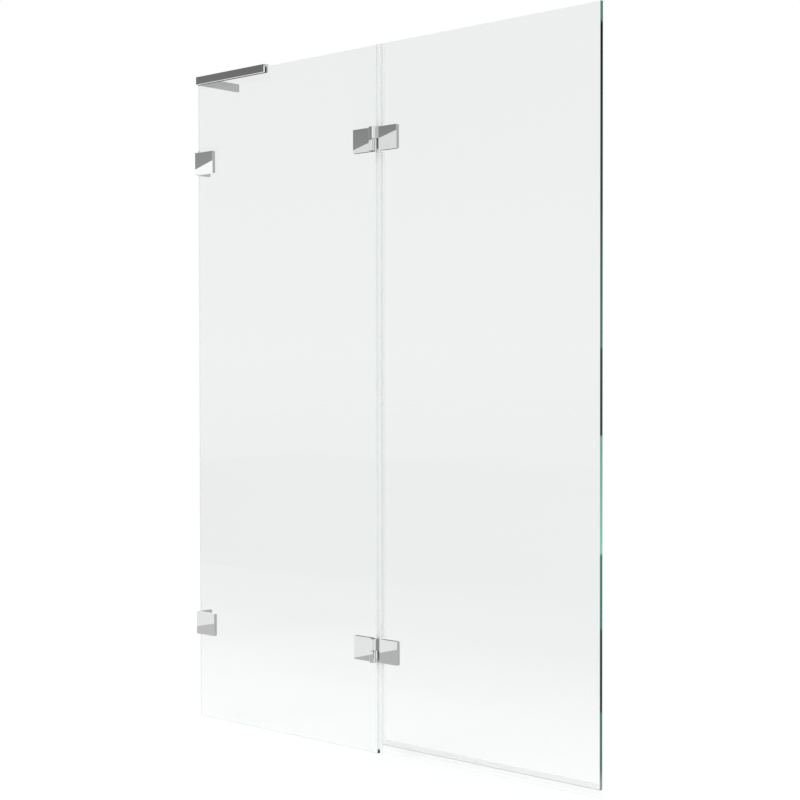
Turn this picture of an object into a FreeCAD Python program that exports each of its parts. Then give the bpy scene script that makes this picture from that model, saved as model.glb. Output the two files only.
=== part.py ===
"""Frameless bath screen: a fixed glass panel on two wall brackets and a top brace, and a hinged door.

The frame, in millimetres: X runs along the glass from the wall, Y from the room towards the bath and Z up
from the bath rim. The origin is where the wall, the middle of the glass and the bath rim meet.
"""
import FreeCAD, Part
import math
import os
import re

import Sketcher
from FreeCAD import Placement, Rotation, Vector

# Driving dimensions, in millimetres unless the name says share
SIZES = {
    # Overall
    "screen_width": 1150,
    "screen_height": 1500,
    "wall_gap": 3,
    "panel_gap": 9,
    "fixed_width": 575,
    "door_rise": 21,
    # Glass
    "glass_thickness": 8,
    "glass_arris": 0.8,
    "glass_hole_radius": 6,
    # Plates and gaskets that brackets and hinges share
    "fitting_inset": 200,
    "plate_thickness": 8,
    "plate_corner": 0.6,
    "plate_bevel": 0.3,
    "gasket_thickness": 1,
    "gasket_inset": 1,
    "back_plate_width": 34,
    "back_height": 43,
    "back_thickness": 6,
    # Clamp screws and the sleeves round them
    "clamp_pitch": 22,
    "screw_radius": 3,
    "screw_head_radius": 5.5,
    "screw_clearance": 0.2,
    "sink_clearance": 0.1,
    "thread_depth": 6,
    "thread_clearance": 0.05,
    "thread_run_out": 0.5,
    "socket_width": 4,
    "socket_depth": 2.2,
    "sleeve_clearance": 0.1,
    # Wall brackets
    "bracket_height": 52,
    "bracket_plate_gap": 2,
    "bracket_plate_width": 62,
    "bracket_leg_length": 46,
    "bracket_clamp_inset": 30,
    "flange_thickness": 6,
    "flange_depth": 30,
    "wall_hole_inset": 13,
    "wall_hole_pitch": 30,
    "wall_hole_radius": 2.75,
    "wall_sink_radius": 5.5,
    # Hinges
    "hinge_height": 50.4,
    "axis_inset": 0.5,
    "knuckle_stand_off": 4.5,
    "knuckle_width": 11,
    "knuckle_corner": 1.2,
    "knuckle_gap": 1,
    "knuckle_floor": 3,
    "knuckle_sweep_gap": 2,
    "fixed_leaf_reach": 60.3,
    "fixed_leaf_overhang": 0.5,
    "fixed_clamp_reach": 36,
    "door_leaf_setback": 14,
    "door_leaf_width": 51,
    "door_clamp_reach": 36.5,
    "web_root": 2,
    "web_recess": 1,
    "pin_radius": 2.5,
    "pin_chamfer": 0.4,
    "pin_fit": 0.02,
    "running_clearance": 0.05,
    "bush_wall": 1.1,
    "bush_flange_radius": 5,
    "bush_end_gap": 1.5,
    # Top brace
    "brace_wall_gap": 1.5,
    "brace_length": 232.5,
    "brace_height": 18.5,
    "brace_cheek": 4,
    "brace_web": 4,
    "brace_bevel": 0.6,
    "liner_thickness": 0.4,
    "liner_clearance": 0.05,
    "liner_inset": 0.5,
    "arm_thickness": 8,
    "arm_reach": 126,
    "stud_radius": 3,
    "stud_depth": 6,
    "stud_inset": 22,
    "stud_pitch": 70,
    "corner_screw_radius": 1.5,
    "corner_screw_head_radius": 2.8,
    "corner_screw_grip": 10,
    "corner_screw_pitch": 9,
    "corner_socket_width": 2,
    "corner_socket_depth": 1.1,
    "grub_radius": 2,
    "grub_socket_width": 2,
    "grub_socket_depth": 2,
    "grub_recess": 0.3,
    "grub_inset": 60,
    "grub_pitch": 110,
    # Seals
    "seal_wall": 1.5,
    "seal_clearance": 0.1,
    "seal_grip": 10,
    "seal_hinge_gap": 2,
    "seal_join_gap": 0.5,
    "gap_seal_rise": 10,
    "gap_lip_thickness": 1,
    "gap_lip_overlap": 3,
    "bottom_grip": 11,
    "bottom_lip_thickness": 1.2,
    "bottom_lip_drop": 16,
    "drip_lip_reach": 11,
    "drip_lip_drop": 13,
}
SINK_ANGLE = 90
# Turns about X that point the head of an upright screw another way
HEAD_TO_BATH = -90
HEAD_TO_ROOM = 90
HEAD_DOWN = 180
# Two places closer than this are the same place
TOUCH = 1e-4

# Planes that several pieces share, as sums of the driving dimensions, from the middle of the glass
PLATE_SEAT = "(glass_thickness / 2 + gasket_thickness)"
PLATE_FACE = f"({PLATE_SEAT} + plate_thickness)"
BACK_FACE = f"({PLATE_SEAT} + back_thickness)"
AXIS_OUT = f"({PLATE_FACE} + knuckle_stand_off)"
HALF_BRACKET = "bracket_height / 2"
HALF_HINGE = "hinge_height / 2"
HALF_KNUCKLE = "knuckle_width / 2"
DOOR_LEAF_END = "door_leaf_setback + door_leaf_width"
HINGE_X = "(wall_gap + fixed_width - axis_inset)"
DOOR_EDGE = "(axis_inset + panel_gap)"
DOOR_X = f"({HINGE_X} + {DOOR_EDGE})"
DOOR_WIDTH = f"(screen_width - {DOOR_X})"
LEVELS = {
    "upper": "(screen_height - fitting_inset)",
    "lower": "(door_rise + fitting_inset)",
}
SCREW_HOLE = "(screw_radius + screw_clearance)"
BUSH_BORE = "(pin_radius + running_clearance)"
BUSH_RADIUS = f"({BUSH_BORE} + bush_wall)"
SLOT_HALF = "(glass_thickness / 2 + liner_thickness + 2 * liner_clearance)"
BRACE_HALF = f"({SLOT_HALF} + brace_cheek)"
SLOT_TOP = "(liner_thickness + 2 * liner_clearance)"
BRACE_TOP = f"({SLOT_TOP} + brace_web)"
BRACE_BOTTOM = f"({BRACE_TOP} - brace_height)"
BRACE_MIDDLE = f"({BRACE_TOP} - brace_height / 2)"
SEAL_INNER = "(glass_thickness / 2 + seal_clearance)"
SEAL_OUTER = f"({SEAL_INNER} + seal_wall)"
SEAL_WEB = "(seal_clearance + seal_wall)"

doc = FreeCAD.newDocument("BathScreen")
sheet = doc.addObject("Spreadsheet::Sheet", "Sizes")
for row, (name, value) in enumerate(SIZES.items(), start=1):
    sheet.set(f"A{row}", name)
    sheet.set(f"B{row}", str(value))
    sheet.setAlias(f"B{row}", name)
doc.recompute()

sub_parts = []


def bound(text):
    """A sum of size names, as an expression on the sheet."""
    return re.sub(r"[a-z_]+", lambda word: f"Sizes.{word[0]}" if word[0] in SIZES else word[0], text)


def bind(thing, prop, text):
    """Ties one property of an object to the sheet."""
    thing.setExpression(prop, bound(text))


def place(thing, x="0", y="0", z="0"):
    """Puts an object where three sums of sizes say."""
    for axis, text in zip("xyz", (x, y, z)):
        bind(thing, f"Placement.Base.{axis}", text)


def new_body(label, is_sub_part=True):
    """An empty body, listed as a sub-part unless it only serves as a pattern for copies."""
    body = doc.addObject("PartDesign::Body", label)
    body.Label = label
    if is_sub_part:
        sub_parts.append(body)
    return body


def sketch_on(body, role, offset="0"):
    """A sketch on one of the body's own origin planes, moved along the plane's normal."""
    plane = next(feature for feature in body.Origin.OriginFeatures if feature.Role == role)
    sketch = body.newObject("Sketcher::SketchObject", "Sketch")
    sketch.AttachmentSupport = [(plane, "")]
    sketch.MapMode = "FlatFace"
    bind(sketch, "AttachmentOffset.Base.z", offset)
    return sketch


def fix_point(sketch, curve, point, where):
    """Holds a point of a curve at two sums of sizes from the sketch's origin."""
    now = sketch.getPoint(curve, point)
    for kind, start, text in (("DistanceX", now.x, where[0]), ("DistanceY", now.y, where[1])):
        row = sketch.addConstraint(Sketcher.Constraint(kind, -1, 1, curve, point, start))
        bind(sketch, f"Constraints[{row}]", text)


def polygon(sketch, corners):
    """A closed outline of straight lines through the given corners."""
    count = len(corners)
    turns = [2 * math.pi * k / count for k in range(count)]
    seeds = [Vector(math.cos(turn), math.sin(turn), 0) for turn in turns]
    lines = [
        sketch.addGeometry(Part.LineSegment(seeds[k], seeds[(k + 1) % count]), False)
        for k in range(count)
    ]
    for k, line in enumerate(lines):
        sketch.addConstraint(Sketcher.Constraint("Coincident", line, 2, lines[(k + 1) % count], 1))
    for line, corner in zip(lines, corners):
        fix_point(sketch, line, 1, corner)


def rectangle(sketch, left, right, bottom, top):
    """A rectangle between four sums of sizes."""
    polygon(sketch, [(left, bottom), (right, bottom), (right, top), (left, top)])


def circles(sketch, centres, radius):
    """One circle at each centre."""
    for centre in centres:
        curve = sketch.addGeometry(Part.Circle(Vector(0, 0, 0), Vector(0, 0, 1), 1), False)
        row = sketch.addConstraint(Sketcher.Constraint("Radius", curve, 1))
        bind(sketch, f"Constraints[{row}]", radius)
        fix_point(sketch, curve, 3, centre)


def hexagon(sketch, width):
    """A hexagon round the sketch's origin, by its width across flats."""
    reach = f"({width}) / 2 / cos(30)"
    polygon(sketch, [(f"{reach} * cos({60 * k})", f"{reach} * sin({60 * k})") for k in range(6)])


def pad(body, sketch, length):
    """Raises a sketch along its normal."""
    feature = body.newObject("PartDesign::Pad", "Pad")
    feature.Profile = sketch
    bind(feature, "Length", length)
    doc.recompute()
    return feature


def cut_check(feature, before):
    """Stops when a cut took nothing away."""
    if not feature.Shape.Volume < before.Volume:
        raise RuntimeError(f"{feature.Name} cuts nothing")


def pocket(body, sketch, depth, along_normal=False):
    """Cuts a sketch to a depth, against its normal or along it."""
    before = body.Tip.Shape
    feature = body.newObject("PartDesign::Pocket", "Pocket")
    feature.Profile = sketch
    feature.Reversed = along_normal
    bind(feature, "Length", depth)
    doc.recompute()
    cut_check(feature, before)


def sunk_holes(body, sketch, radius, head_radius, along_normal=False):
    """Through holes for countersunk screws, at the circles of a sketch on the head's side."""
    before = body.Tip.Shape
    doc.recompute()
    feature = body.newObject("PartDesign::Hole", "Hole")
    feature.Profile = sketch
    doc.recompute()
    feature.Reversed = along_normal
    feature.DepthType = "ThroughAll"
    bind(feature, "Diameter", f"2 * {radius}")
    feature.HoleCutType = "Countersink"
    feature.HoleCutCustomValues = True
    bind(feature, "HoleCutDiameter", f"2 * {head_radius}")
    feature.HoleCutCountersinkAngle = SINK_ANGLE
    doc.recompute()
    cut_check(feature, before)


def edges_where(shape, test):
    """Names of the edges whose bounding box passes a test."""
    return [f"Edge{number}" for number, edge in enumerate(shape.Edges, 1) if test(edge.BoundBox)]


def near(one, other):
    return abs(one - other) < TOUCH


def soften(body, kind, prop, names, size):
    """A fillet or a chamfer on the named edges of the body so far."""
    base = body.Tip
    feature = body.newObject(f"PartDesign::{kind}", kind)
    feature.Base = (base, names)
    bind(feature, prop, size)
    doc.recompute()


def fillet(body, names, radius):
    soften(body, "Fillet", "Radius", names, radius)


def chamfer(body, names, size):
    soften(body, "Chamfer", "Size", names, size)


def outer_corners(shape, sides):
    """Edges through a plate, from face to face, at its left or right corners."""
    box = shape.BoundBox
    ends = {"left": box.XMin, "right": box.XMax}

    def is_corner(edge):
        upright = near(edge.XLength, 0) and near(edge.ZLength, 0)
        level = near(edge.ZMin, box.ZMin) or near(edge.ZMin, box.ZMax)
        return upright and level and any(near(edge.XMin, ends[side]) for side in sides)

    return edges_where(shape, is_corner)


def face_rim(shape, place_of_face):
    """Edges that lie in one plane parallel to the glass."""
    return edges_where(
        shape, lambda edge: near(edge.YMin, place_of_face) and near(edge.YMax, place_of_face)
    )


def clamp_pair(x):
    """The two clamp screws of a fitting, one above the other."""
    return [(x, "clamp_pitch / 2"), (x, "-clamp_pitch / 2")]


def fitting_holes(x, base):
    """Clamp screw places of the upper and the lower fitting, seen from a panel's bottom edge."""
    return [
        (x, f"{level} - ({base}) + {side} * clamp_pitch / 2")
        for level in LEVELS.values()
        for side in (1, -1)
    ]


def glass_panel(label, width, height, holes):
    """A pane with drilled holes and ground arrises."""
    body = new_body(label)
    sketch = sketch_on(body, "XZ_Plane", "-glass_thickness / 2")
    rectangle(sketch, "0", width, "0", height)
    circles(sketch, holes, "glass_hole_radius")
    shape = pad(body, sketch, "glass_thickness").Shape
    box = shape.BoundBox

    def is_rim(edge):
        on_face = near(edge.YLength, 0)
        at_side = near(edge.XLength, 0) and (near(edge.XMin, box.XMin) or near(edge.XMin, box.XMax))
        at_end = near(edge.ZLength, 0) and (near(edge.ZMin, box.ZMin) or near(edge.ZMin, box.ZMax))
        return on_face and (at_side or at_end)

    chamfer(body, edges_where(shape, is_rim), "glass_arris")
    return body


def plate_blank(label, outline, back, thickness, holes=(), hole_radius=SCREW_HOLE):
    """A flat piece parallel to the glass, raised towards the room from its back plane."""
    body = new_body(label)
    sketch = sketch_on(body, "XZ_Plane", back)
    polygon(sketch, outline)
    circles(sketch, holes, hole_radius)
    pad(body, sketch, thickness)
    return body


def box_outline(left, right, height):
    """Corners of a rectangle centred in height."""
    half = f"({height}) / 2"
    return [(left, f"-{half}"), (right, f"-{half}"), (right, half), (left, half)]


def front_plate(label, outline, clamp_x, rounded):
    """A chrome plate on the room side, with bevelled rim and blind threads for the clamp screws."""
    body = plate_blank(label, outline, PLATE_SEAT, "plate_thickness")
    fillet(body, outer_corners(body.Tip.Shape, rounded), "plate_corner")
    shape = body.Tip.Shape
    chamfer(body, face_rim(shape, shape.BoundBox.YMin), "plate_bevel")
    threads = sketch_on(body, "XZ_Plane", PLATE_SEAT)
    circles(threads, clamp_pair(clamp_x), "(screw_radius + thread_clearance)")
    pocket(body, threads, "thread_depth + thread_run_out", along_normal=True)
    return body


def back_plate(label, clamp_x):
    """A clamp plate on the bath side, with countersunk holes."""
    left = f"{clamp_x} - back_plate_width / 2"
    right = f"{clamp_x} + back_plate_width / 2"
    outline = box_outline(left, right, "back_height")
    body = plate_blank(label, outline, f"-{BACK_FACE}", "back_thickness")
    fillet(body, outer_corners(body.Tip.Shape, ("left", "right")), "plate_corner")
    shape = body.Tip.Shape
    chamfer(body, face_rim(shape, shape.BoundBox.YMax), "plate_bevel")
    heads = sketch_on(body, "XZ_Plane", f"-{BACK_FACE}")
    circles(heads, clamp_pair(clamp_x), SCREW_HOLE)
    sunk_holes(body, heads, SCREW_HOLE, "(screw_head_radius + sink_clearance)", along_normal=True)
    return body


def gasket(label, left, right, height, back, clamp_x):
    """A soft sheet between metal and glass, cut back from the metal's edge."""
    outline = box_outline(
        f"{left} + gasket_inset", f"{right} - gasket_inset", f"{height} - 2 * gasket_inset"
    )
    return plate_blank(label, outline, back, "gasket_thickness", clamp_pair(clamp_x))


def bracket_angle(label):
    """Wall flange and glass leg in one piece, on the bath side of the glass."""
    body = plate_blank(
        label, box_outline("0", "bracket_leg_length", "back_height"), f"-{BACK_FACE}", "back_thickness"
    )
    fillet(body, outer_corners(body.Tip.Shape, ("right",)), "plate_corner")
    shape = body.Tip.Shape
    chamfer(body, face_rim(shape, shape.BoundBox.YMax), "plate_bevel")
    flange = sketch_on(body, "YZ_Plane")
    flange_end = f"({PLATE_SEAT} + flange_depth)"
    rectangle(flange, PLATE_SEAT, flange_end, f"-{HALF_BRACKET}", HALF_BRACKET)
    shape = pad(body, flange, "flange_thickness").Shape
    box = shape.BoundBox
    fillet(
        body,
        edges_where(shape, lambda edge: near(edge.YMin, box.YMax) and near(edge.ZLength, 0)),
        "plate_corner",
    )
    heads = sketch_on(body, "XZ_Plane", f"-{BACK_FACE}")
    circles(heads, clamp_pair("bracket_clamp_inset"), SCREW_HOLE)
    sunk_holes(body, heads, SCREW_HOLE, "(screw_head_radius + sink_clearance)", along_normal=True)
    wall = sketch_on(body, "YZ_Plane", "flange_thickness")
    wall_y = f"{flange_end} - wall_hole_inset"
    wall_holes = [(wall_y, "wall_hole_pitch / 2"), (wall_y, "-wall_hole_pitch / 2")]
    circles(wall, wall_holes, "wall_hole_radius")
    sunk_holes(body, wall, "wall_hole_radius", "wall_sink_radius")
    return body


def wall_bracket(name, level):
    """The four pieces of one wall bracket."""
    plate_left = "bracket_plate_gap"
    plate_right = f"{plate_left} + bracket_plate_width"
    clamp_x = "bracket_clamp_inset"
    glass_left = "wall_gap"
    pieces = [
        bracket_angle(f"{name}_wall_bracket_angle"),
        front_plate(
            f"{name}_wall_bracket_front_plate",
            box_outline(plate_left, plate_right, "bracket_height"),
            clamp_x,
            ("left", "right"),
        ),
        gasket(
            f"{name}_wall_bracket_front_gasket",
            glass_left, plate_right, "bracket_height", "glass_thickness / 2", clamp_x,
        ),
        gasket(
            f"{name}_wall_bracket_back_gasket",
            glass_left, "bracket_leg_length", "back_height", f"-{PLATE_SEAT}", clamp_x,
        ),
    ]
    for piece in pieces:
        place(piece, z=level)


def add_knuckle(body, bottom, height):
    """A square knuckle with rounded corners round the hinge axis."""
    sketch = sketch_on(body, "XY_Plane", bottom)
    room_side = f"-({AXIS_OUT} + {HALF_KNUCKLE})"
    glass_side = f"-({AXIS_OUT} - {HALF_KNUCKLE})"
    rectangle(sketch, f"-{HALF_KNUCKLE}", HALF_KNUCKLE, room_side, glass_side)
    shape = pad(body, sketch, height).Shape
    front = shape.BoundBox.YMin

    def is_front_upright(edge):
        in_front = near(edge.YMin, front) and near(edge.YMax, front)
        return in_front and near(edge.XLength, 0)

    fillet(body, edges_where(shape, is_front_upright), "knuckle_corner")


def fixed_leaf(label, knuckle_height):
    """Hinge leaf on the fixed panel, stepped back in its upper half, where the door's knuckle turns."""
    step = "-knuckle_gap / 2"
    swept = f"-({HALF_KNUCKLE} + knuckle_sweep_gap)"
    outline = [
        ("-fixed_leaf_reach", f"-{HALF_HINGE}"),
        ("fixed_leaf_overhang", f"-{HALF_HINGE}"),
        ("fixed_leaf_overhang", step),
        (swept, step),
        (swept, HALF_HINGE),
        ("-fixed_leaf_reach", HALF_HINGE),
    ]
    body = front_plate(label, outline, "-fixed_clamp_reach", ("left",))
    add_knuckle(body, f"-{HALF_HINGE}", knuckle_height)
    bore = sketch_on(body, "XY_Plane", step)
    circles(bore, [("0", f"-{AXIS_OUT}")], "(pin_radius + pin_fit)")
    pocket(body, bore, f"{knuckle_height} - knuckle_floor")
    return body


def door_leaf(label, knuckle_height):
    """Hinge leaf on the door: a web in the upper half carries its knuckle out to the hinge axis."""
    outline = box_outline("door_leaf_setback", DOOR_LEAF_END, "hinge_height")
    body = front_plate(label, outline, "door_clamp_reach", ("right",))
    web = sketch_on(body, "XY_Plane", "knuckle_gap / 2")
    web_end = "door_leaf_setback + web_root"
    polygon(
        web,
        [
            ("0", f"-{AXIS_OUT}"),
            (web_end, f"-({PLATE_FACE} - web_recess)"),
            (web_end, f"-({PLATE_SEAT} + web_recess)"),
            ("0", f"-({AXIS_OUT} - {HALF_KNUCKLE} + web_recess)"),
        ],
    )
    pad(body, web, knuckle_height)
    add_knuckle(body, "knuckle_gap / 2", knuckle_height)
    bore = sketch_on(body, "XY_Plane", "knuckle_gap / 2")
    circles(bore, [("0", f"-{AXIS_OUT}")], f"({BUSH_RADIUS} + pin_fit)")
    pocket(body, bore, f"{knuckle_height} - knuckle_floor", along_normal=True)
    return body


def hinge_pin(label, knuckle_height, bush_length):
    """Steel pin, pressed into the lower knuckle and turning in the bush above it."""
    body = new_body(label)
    foot = sketch_on(body, "XY_Plane", f"-({HALF_HINGE} - knuckle_floor)")
    circles(foot, [("0", f"-{AXIS_OUT}")], "pin_radius")
    shape = pad(body, foot, f"{knuckle_height} - knuckle_floor + knuckle_gap + {bush_length}").Shape
    box = shape.BoundBox

    def is_end_rim(edge):
        return near(edge.ZLength, 0) and (near(edge.ZMin, box.ZMin) or near(edge.ZMin, box.ZMax))

    chamfer(body, edges_where(shape, is_end_rim), "pin_chamfer")
    return body


def hinge_bush(label, bush_length):
    """Plastic bush in the door's knuckle; its flange lies between the knuckles and carries the door."""
    body = new_body(label)
    centre = [("0", f"-{AXIS_OUT}")]
    flange = sketch_on(body, "XY_Plane", "running_clearance - knuckle_gap / 2")
    circles(flange, centre, "bush_flange_radius")
    circles(flange, centre, BUSH_BORE)
    pad(body, flange, "knuckle_gap - running_clearance")
    tube = sketch_on(body, "XY_Plane", "knuckle_gap / 2")
    circles(tube, centre, BUSH_RADIUS)
    circles(tube, centre, BUSH_BORE)
    pad(body, tube, bush_length)
    return body


def hinge(name, level):
    """The ten pieces of one glass-to-glass hinge."""
    knuckle_height = f"({HALF_HINGE} - knuckle_gap / 2)"
    bush_length = f"({knuckle_height} - knuckle_floor - bush_end_gap)"
    front_seat = "glass_thickness / 2"
    back_seat = f"-{PLATE_SEAT}"
    fixed_x = "-fixed_clamp_reach"
    door_x = "door_clamp_reach"
    half_back = "back_plate_width / 2"
    pieces = [
        fixed_leaf(f"{name}_hinge_fixed_leaf", knuckle_height),
        door_leaf(f"{name}_hinge_door_leaf", knuckle_height),
        back_plate(f"{name}_hinge_fixed_back_plate", fixed_x),
        back_plate(f"{name}_hinge_door_back_plate", door_x),
        hinge_pin(f"{name}_hinge_pin", knuckle_height, bush_length),
        hinge_bush(f"{name}_hinge_bush", bush_length),
        gasket(
            f"{name}_hinge_fixed_front_gasket",
            "-fixed_leaf_reach", "axis_inset", "hinge_height", front_seat, fixed_x,
        ),
        gasket(
            f"{name}_hinge_door_front_gasket",
            "door_leaf_setback", DOOR_LEAF_END, "hinge_height", front_seat, door_x,
        ),
        gasket(
            f"{name}_hinge_fixed_back_gasket",
            f"{fixed_x} - {half_back}", f"{fixed_x} + {half_back}", "back_height", back_seat, fixed_x,
        ),
        gasket(
            f"{name}_hinge_door_back_gasket",
            f"{door_x} - {half_back}", f"{door_x} + {half_back}", "back_height", back_seat, door_x,
        ),
    ]
    for piece in pieces:
        place(piece, x=HINGE_X, z=level)


def sunk_screw(label, radius, head_radius, length, socket, socket_depth):
    """Pattern of a countersunk socket screw, head up, with the top of its head at the origin."""
    body = new_body(label, is_sub_part=False)
    profile = sketch_on(body, "XZ_Plane")
    neck = f"-({head_radius} - {radius})"
    tip = f"-({length})"
    polygon(
        profile,
        [("0", "0"), (head_radius, "0"), (radius, neck), (radius, tip), ("0", tip)],
    )
    turned = body.newObject("PartDesign::Revolution", "Revolution")
    turned.Profile = profile
    turned.ReferenceAxis = (profile, ["V_Axis"])
    doc.recompute()
    key = sketch_on(body, "XY_Plane")
    hexagon(key, socket)
    pocket(body, key, socket_depth)
    return body


def grub_screw(label):
    """Pattern of a headless socket screw, socket up, with its top at the origin."""
    body = new_body(label, is_sub_part=False)
    thread = sketch_on(body, "XY_Plane", "-brace_cheek")
    circles(thread, [("0", "0")], "grub_radius")
    pad(body, thread, "brace_cheek")
    key = sketch_on(body, "XY_Plane")
    hexagon(key, "grub_socket_width")
    pocket(body, key, "grub_socket_depth")
    return body


def sleeve(label):
    """Pattern of the plastic sleeve that keeps a clamp screw off the glass."""
    body = new_body(label, is_sub_part=False)
    ring = sketch_on(body, "XY_Plane")
    circles(ring, [("0", "0")], "(glass_hole_radius - sleeve_clearance)")
    circles(ring, [("0", "0")], SCREW_HOLE)
    pad(body, ring, "glass_thickness")
    return body


def group_of_copies(label, pattern, places):
    """One node of equal pieces; a place is a turn about X in degrees and three sums of sizes."""
    copies = []
    for turn, x, y, z in places:
        copy = doc.addObject("App::Link", f"{label}_copy")
        copy.LinkedObject = pattern
        copy.Placement = Placement(Vector(0, 0, 0), Rotation(Vector(1, 0, 0), turn))
        place(copy, x, y, z)
        copies.append(copy)
    group = doc.addObject("Part::Compound", label)
    group.Label = label
    group.Links = copies
    doc.recompute()
    sub_parts.append(group)


def clamp_places(columns, y):
    """Every clamp screw of the given columns, upper and lower fitting, with heads towards the bath."""
    return [(HEAD_TO_BATH, x, y, z) for column in columns for x, z in fitting_holes(column, "0")]


def brace_channel():
    """Slotted channel that sits on the glass edge and holds it from both sides."""
    body = new_body("brace_channel")
    section = sketch_on(body, "YZ_Plane", "brace_wall_gap")
    polygon(
        section,
        [
            (f"-{BRACE_HALF}", BRACE_BOTTOM),
            (f"-{SLOT_HALF}", BRACE_BOTTOM),
            (f"-{SLOT_HALF}", SLOT_TOP),
            (SLOT_HALF, SLOT_TOP),
            (SLOT_HALF, BRACE_BOTTOM),
            (BRACE_HALF, BRACE_BOTTOM),
            (BRACE_HALF, BRACE_TOP),
            (f"-{BRACE_HALF}", BRACE_TOP),
        ],
    )
    shape = pad(body, section, "brace_length").Shape
    box = shape.BoundBox

    def is_long_rim(edge):
        along = near(edge.YLength, 0) and near(edge.ZLength, 0)
        return along and (near(edge.YMin, box.YMin) or near(edge.YMin, box.YMax))

    chamfer(body, edges_where(shape, is_long_rim), "brace_bevel")
    corner = sketch_on(body, "XZ_Plane", f"-{SLOT_HALF}")
    corner_hole = "(corner_screw_radius + screw_clearance)"
    circles(corner, corner_screw_places(), corner_hole)
    sunk_holes(body, corner, corner_hole, "(corner_screw_head_radius + sink_clearance)")
    clamps = sketch_on(body, "XZ_Plane", f"-{BRACE_HALF}")
    circles(clamps, brace_clamp_places(), "(grub_radius + thread_clearance)")
    pocket(body, clamps, "brace_cheek", along_normal=True)
    place(body, z="screen_height")


def corner_screw_places():
    """The two screws that join channel and arm, one above the other."""
    x = "(brace_wall_gap + arm_thickness) / 2"
    return [(x, f"{BRACE_MIDDLE} + {side} * corner_screw_pitch / 2") for side in (1, -1)]


def brace_clamp_places():
    """Grub screws in the channel's cheek on the bath side, halfway up the slot."""
    height = f"({BRACE_BOTTOM} + {SLOT_TOP}) / 2"
    return [("grub_inset", height), ("grub_inset + grub_pitch", height)]


def stud_places():
    """The two wall studs that carry the arm, as distances from the glass."""
    first = f"({BRACE_HALF} + stud_inset)"
    return [first, f"({first} + stud_pitch)"]


def brace_wall_arm():
    """Bar along the wall, with blind bores for two wall studs and threads for its screws."""
    body = new_body("brace_wall_arm")
    side = sketch_on(body, "YZ_Plane")
    rectangle(side, BRACE_HALF, "arm_reach", BRACE_BOTTOM, BRACE_TOP)
    shape = pad(body, side, "arm_thickness").Shape
    face = shape.BoundBox.XMax
    rim = edges_where(shape, lambda edge: near(edge.XMin, face) and near(edge.XMax, face))
    chamfer(body, rim, "brace_bevel")
    studs = sketch_on(body, "YZ_Plane")
    circles(studs, [(y, BRACE_MIDDLE) for y in stud_places()], "stud_radius")
    pocket(body, studs, "stud_depth", along_normal=True)
    locks = sketch_on(body, "XY_Plane", BRACE_BOTTOM)
    circles(locks, [("stud_depth / 2", y) for y in stud_places()], "(grub_radius + thread_clearance)")
    pocket(body, locks, "brace_height / 2", along_normal=True)
    threads = sketch_on(body, "XZ_Plane", f"-{BRACE_HALF}")
    circles(threads, corner_screw_places(), "(corner_screw_radius + thread_clearance)")
    pocket(body, threads, "corner_screw_grip + thread_run_out")
    place(body, z="screen_height")


def brace_liner():
    """Dark strip folded over the glass edge inside the channel."""
    body = new_body("brace_liner")
    section = sketch_on(body, "YZ_Plane", "wall_gap")
    inner = "(glass_thickness / 2 + liner_clearance)"
    outer = f"({inner} + liner_thickness)"
    foot = f"({BRACE_BOTTOM} + liner_inset)"
    crown = "(liner_clearance + liner_thickness)"
    polygon(
        section,
        [
            (f"-{outer}", foot),
            (f"-{inner}", foot),
            (f"-{inner}", "liner_clearance"),
            (inner, "liner_clearance"),
            (inner, foot),
            (outer, foot),
            (outer, crown),
            (f"-{outer}", crown),
        ],
    )
    pad(body, section, "brace_wall_gap + brace_length - wall_gap - liner_inset")
    place(body, z="screen_height")


def gap_seal(label, bottom, top):
    """One length of the clip on the door's hinge edge, with a lip that reaches over the fixed panel."""
    body = new_body(label)
    section = sketch_on(body, "XY_Plane")
    lip_tip = "-(panel_gap + gap_lip_overlap)"
    lip_back = f"-({SEAL_OUTER} - gap_lip_thickness)"
    polygon(
        section,
        [
            (lip_tip, f"-{SEAL_OUTER}"),
            ("seal_grip", f"-{SEAL_OUTER}"),
            ("seal_grip", f"-{SEAL_INNER}"),
            ("-seal_clearance", f"-{SEAL_INNER}"),
            ("-seal_clearance", SEAL_INNER),
            ("seal_grip", SEAL_INNER),
            ("seal_grip", SEAL_OUTER),
            (f"-{SEAL_WEB}", SEAL_OUTER),
            (f"-{SEAL_WEB}", lip_back),
            (lip_tip, lip_back),
        ],
    )
    pad(body, section, f"{top} - ({bottom})")
    place(body, x=DOOR_X, z=bottom)


def door_bottom_seal():
    """Clip under the door with an upright lip and a drip lip that leans towards the bath."""
    body = new_body("door_bottom_seal")
    section = sketch_on(body, "YZ_Plane", "seal_grip + seal_join_gap")
    half_lip = "bottom_lip_thickness / 2"
    polygon(
        section,
        [
            (f"-{SEAL_OUTER}", "bottom_grip"),
            (f"-{SEAL_OUTER}", f"-{SEAL_WEB}"),
            (f"-{half_lip}", f"-{SEAL_WEB}"),
            (f"-{half_lip}", "-bottom_lip_drop"),
            (half_lip, "-bottom_lip_drop"),
            (half_lip, f"-{SEAL_WEB}"),
            (f"{SEAL_OUTER} - bottom_lip_thickness", f"-{SEAL_WEB}"),
            ("drip_lip_reach - bottom_lip_thickness", "-drip_lip_drop"),
            ("drip_lip_reach", "-drip_lip_drop"),
            (SEAL_OUTER, f"-{SEAL_WEB}"),
            (SEAL_OUTER, "bottom_grip"),
            (SEAL_INNER, "bottom_grip"),
            (SEAL_INNER, "-seal_clearance"),
            (f"-{SEAL_INNER}", "-seal_clearance"),
            (f"-{SEAL_INNER}", "bottom_grip"),
        ],
    )
    pad(body, section, f"{DOOR_WIDTH} - seal_grip - seal_join_gap")
    place(body, x=DOOR_X, z="door_rise")


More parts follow.
